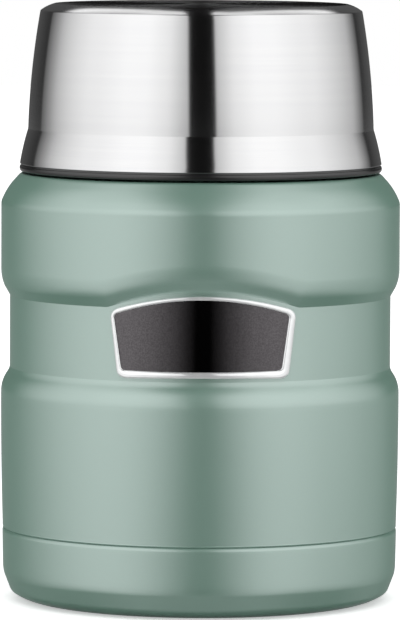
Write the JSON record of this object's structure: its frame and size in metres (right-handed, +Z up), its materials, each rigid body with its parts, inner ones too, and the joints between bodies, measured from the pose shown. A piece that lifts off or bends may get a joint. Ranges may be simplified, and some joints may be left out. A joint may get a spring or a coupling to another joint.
{
  "type": "insulated food jar",
  "caption": "Vacuum-insulated steel food jar with a waisted painted body, a bare badge place, a screw-in stopper and a brushed steel screw-on lid that serves as a bowl.",
  "frame": {"origin": "centre of the base, on the surface the jar stands on", "axes": "+Z up along the jar's axis, -Y out through the badge, +X to the right seen from the badge side"},
  "size_m": [0.095, 0.095, 0.142],
  "materials": {
    "body_paint": "satin metallic",
    "lid_steel": "brushed around",
    "vessel_steel": "satin",
    "base_steel": "satin",
    "badge_chrome": "polished",
    "badge_black": "fine grain",
    "adhesive": "matte",
    "black_plastic": "satin",
    "silicone": "matte",
    "foam": "open cells",
    "copper_foil": "polished foil",
    "seal_metal": "dull bead",
    "getter_metal": "sintered"
  },
  "bodies": {
    "jar": {"outer_shell": "body_paint", "outer_base": "body_paint", "base_cap": "base_steel", "vacuum_seal": "seal_metal", "inner_vessel": "vessel_steel", "inner_bottom": "vessel_steel", "radiation_shield": "copper_foil", "getter_holder": "base_steel", "getter": "getter_metal", "badge_bezel": "badge_chrome", "badge_panel": "badge_black", "badge_adhesive": "adhesive"},
    "stopper_ring": {"stopper_seal": "silicone"},
    "stopper": {"stopper_plug": "black_plastic", "stopper_foam": "foam", "stopper_cap": "black_plastic"},
    "lid_ring": {"lid_seal": "silicone"},
    "lid": {"lid_shell": "lid_steel", "lid_rim_ring": "black_plastic", "lid_bowl": "black_plastic"}
  },
  "joints": [
    {"name": "stopper_rise", "type": "slide", "parent": "jar", "child": "stopper_ring", "axis": [0, 0, 1], "range_m": [0, 0.0361]},
    {"name": "stopper_turn", "type": "hinge", "parent": "stopper_ring", "child": "stopper", "pos_m": [0, 0, 0.1125], "axis": [0, 0, 1], "range_deg": [0, 1080]},
    {"name": "lid_rise", "type": "slide", "parent": "stopper", "child": "lid_ring", "axis": [0, 0, 1], "range_m": [0, 0.0301]},
    {"name": "lid_turn", "type": "hinge", "parent": "lid_ring", "child": "lid", "pos_m": [0, 0, 0.122], "axis": [0, 0, 1], "range_deg": [0, 900]}
  ],
  "couplings": [
    {"joint": "stopper_rise", "follows": "stopper_turn", "m_per_rad": 0.0019099},
    {"joint": "lid_rise", "follows": "lid_turn", "m_per_rad": 0.0019099}
  ]
}
